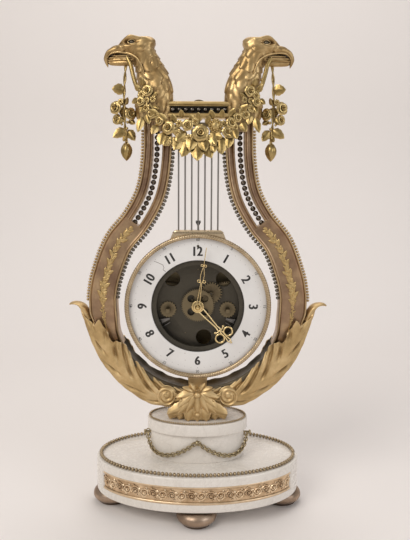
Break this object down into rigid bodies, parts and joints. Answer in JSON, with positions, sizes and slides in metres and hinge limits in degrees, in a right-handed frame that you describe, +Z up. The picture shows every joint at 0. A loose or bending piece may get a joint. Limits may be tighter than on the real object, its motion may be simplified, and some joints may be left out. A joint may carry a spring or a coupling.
{
  "type": "lyre clock",
  "caption": "Lyre-shaped mantel clock with eagle-headed arms on an oval marble base; the ring round its open dial is a pendulum hung on rods, and its hands and wheels turn",
  "frame": {"origin": "on the surface the clock stands on, under the middle of its base", "axes": "X to the viewer's right, Y away from the viewer towards the back, Z up"},
  "size_m": [0.2652, 0.135, 0.474],
  "materials": {
    "white_marble": "polished white marble with faint grey veins",
    "gilt_bronze": "worn fire-gilt bronze, burnished on the high points, dark in the hollows",
    "bright_gilt": "brighter gilding, burnished",
    "aged_brass": "dulled lacquered brass",
    "clean_brass": "grained brass wheels",
    "copper_bronze": "reddish bronze",
    "bell_metal": "turned bell metal",
    "plain_steel": "plain steel",
    "blued_steel": "grey polished steel",
    "rod_steel": "bright steel and brass rods",
    "white_enamel": "white vitreous enamel with black figures"
  },
  "bodies": {
    "stand": {"bun_feet": "copper_bronze", "marble_base": "white_marble", "plinth_neck": "white_marble", "plinth_cap": "white_marble", "base_frieze": "gilt_bronze", "base_beads": "gilt_bronze", "plinth_ring": "gilt_bronze", "chain_swags": "aged_brass", "tie_rod": "plain_steel", "lyre_foot": "gilt_bronze", "acanthus_left": "gilt_bronze", "acanthus_right": "gilt_bronze", "palmette": "gilt_bronze", "lyre_arm_left": "gilt_bronze", "lyre_arm_right": "gilt_bronze", "arm_sprigs": "gilt_bronze", "arm_beads": "gilt_bronze", "pearl_strings": "gilt_bronze", "crossbar": "gilt_bronze", "suspension_block": "aged_brass", "eagle_left": "gilt_bronze", "eagle_right": "gilt_bronze", "flower_swag": "gilt_bronze", "beak_drops": "gilt_bronze", "dial": "white_enamel", "dial_mount": "aged_brass", "movement_bracket": "gilt_bronze", "front_plate": "aged_brass", "back_plate": "aged_brass", "plate_pillars": "aged_brass", "bell": "bell_metal", "bell_stand": "aged_brass", "click_springs": "blued_steel"},
    "pendulum": {"pendulum_ring": "bright_gilt", "pendulum_rods": "rod_steel", "pendulum_yoke": "aged_brass"},
    "pallets": {"pallet_anchor": "blued_steel", "crutch": "blued_steel"},
    "minute": {"minute_hand": "bright_gilt", "cannon_pinion": "clean_brass", "hand_nut": "bright_gilt"},
    "hour": {"hour_hand": "bright_gilt", "hour_wheel": "clean_brass"},
    "minute_wheel": {"minute_wheel": "clean_brass"},
    "centre": {"centre_wheel": "clean_brass"},
    "third": {"third_wheel": "clean_brass"},
    "escape": {"escape_wheel": "clean_brass"},
    "going_barrel": {"going_barrel": "clean_brass"},
    "strike_barrel": {"strike_barrel": "clean_brass"},
    "going_arbor": {"going_arbor": "blued_steel"},
    "strike_arbor": {"strike_arbor": "blued_steel"},
    "pin_wheel": {"pin_wheel": "clean_brass", "count_wheel": "clean_brass"},
    "warning": {"warning_wheel": "clean_brass"},
    "fly": {"fly": "blued_steel"},
    "hammer": {"hammer": "blued_steel"},
    "going_click": {"going_click": "blued_steel"},
    "strike_click": {"strike_click": "blued_steel"}
  },
  "joints": [
    {"name": "pendulum_swing", "type": "hinge", "parent": "stand", "child": "pendulum", "pos_m": [0, 0.0015, 0.405], "axis": [0, 1, 0], "range_deg": [-1.5, 1.5]},
    {"name": "crutch_rock", "type": "hinge", "parent": "stand", "child": "pallets", "pos_m": [0, 0, 0.26064], "axis": [0, 1, 0], "range_deg": [-4.62, 4.62]},
    {"name": "minute_hand_turn", "type": "hinge", "parent": "stand", "child": "minute", "pos_m": [0, 0, 0.212], "axis": [0, 1, 0], "continuous": true},
    {"name": "minute_wheel_turn", "type": "hinge", "parent": "stand", "child": "minute_wheel", "pos_m": [0.01338, 0, 0.22404], "axis": [0, 1, 0], "continuous": true},
    {"name": "hour_hand_turn", "type": "hinge", "parent": "stand", "child": "hour", "pos_m": [0, 0, 0.212], "axis": [0, 1, 0], "continuous": true},
    {"name": "third_wheel_turn", "type": "hinge", "parent": "stand", "child": "third", "pos_m": [0, 0, 0.2318], "axis": [0, 1, 0], "continuous": true},
    {"name": "centre_wheel_turn", "type": "hinge", "parent": "stand", "child": "centre", "pos_m": [0, 0, 0.212], "axis": [0, 1, 0], "continuous": true},
    {"name": "going_barrel_turn", "type": "hinge", "parent": "stand", "child": "going_barrel", "pos_m": [0.03, 0, 0.207], "axis": [0, 1, 0], "continuous": true},
    {"name": "escape_wheel_turn", "type": "hinge", "parent": "stand", "child": "escape", "pos_m": [0, 0, 0.24764], "axis": [0, 1, 0], "continuous": true},
    {"name": "warning_wheel_turn", "type": "hinge", "parent": "stand", "child": "warning", "pos_m": [-0.02545, 0, 0.17777], "axis": [0, 1, 0], "continuous": true},
    {"name": "pin_wheel_turn", "type": "hinge", "parent": "stand", "child": "pin_wheel", "pos_m": [-0.01277, 0, 0.18239], "axis": [0, 1, 0], "continuous": true},
    {"name": "strike_barrel_turn", "type": "hinge", "parent": "stand", "child": "strike_barrel", "pos_m": [-0.03, 0, 0.207], "axis": [0, 1, 0], "continuous": true},
    {"name": "fly_turn", "type": "hinge", "parent": "stand", "child": "fly", "pos_m": [-0.02266, 0, 0.16734], "axis": [0, 1, 0], "continuous": true},
    {"name": "going_wind", "type": "hinge", "parent": "stand", "child": "going_arbor", "pos_m": [0.03, 0, 0.207], "axis": [0, 1, 0], "continuous": true},
    {"name": "strike_wind", "type": "hinge", "parent": "stand", "child": "strike_arbor", "pos_m": [-0.03, 0, 0.207], "axis": [0, 1, 0], "continuous": true},
    {"name": "hammer_lift", "type": "hinge", "parent": "stand", "child": "hammer", "pos_m": [-0.044, 0, 0.188], "axis": [0, -1, 0], "range_deg": [0, 20], "stiffness_Nm_per_rad": 0.02},
    {"name": "going_click_lift", "type": "hinge", "parent": "stand", "child": "going_click", "pos_m": [0.0375, 0, 0.1945], "axis": [0, -1, 0], "range_deg": [0, 8], "stiffness_Nm_per_rad": 0.01},
    {"name": "strike_click_lift", "type": "hinge", "parent": "stand", "child": "strike_click", "pos_m": [-0.0375, 0, 0.1945], "axis": [0, 1, 0], "range_deg": [0, 8], "stiffness_Nm_per_rad": 0.01}
  ],
  "couplings": [
    {"joint": "crutch_rock", "follows": "pendulum_swing", "ratio": -3.0826},
    {"joint": "minute_wheel_turn", "follows": "minute_hand_turn", "ratio": -0.75},
    {"joint": "hour_hand_turn", "follows": "minute_hand_turn", "ratio": 0.083333},
    {"joint": "centre_wheel_turn", "follows": "third_wheel_turn", "ratio": -0.1},
    {"joint": "going_barrel_turn", "follows": "third_wheel_turn", "ratio": 0.013889},
    {"joint": "escape_wheel_turn", "follows": "third_wheel_turn", "ratio": -10},
    {"joint": "pin_wheel_turn", "follows": "warning_wheel_turn", "ratio": -0.125},
    {"joint": "strike_barrel_turn", "follows": "warning_wheel_turn", "ratio": 0.015625},
    {"joint": "fly_turn", "follows": "warning_wheel_turn", "ratio": -8}
  ]
}
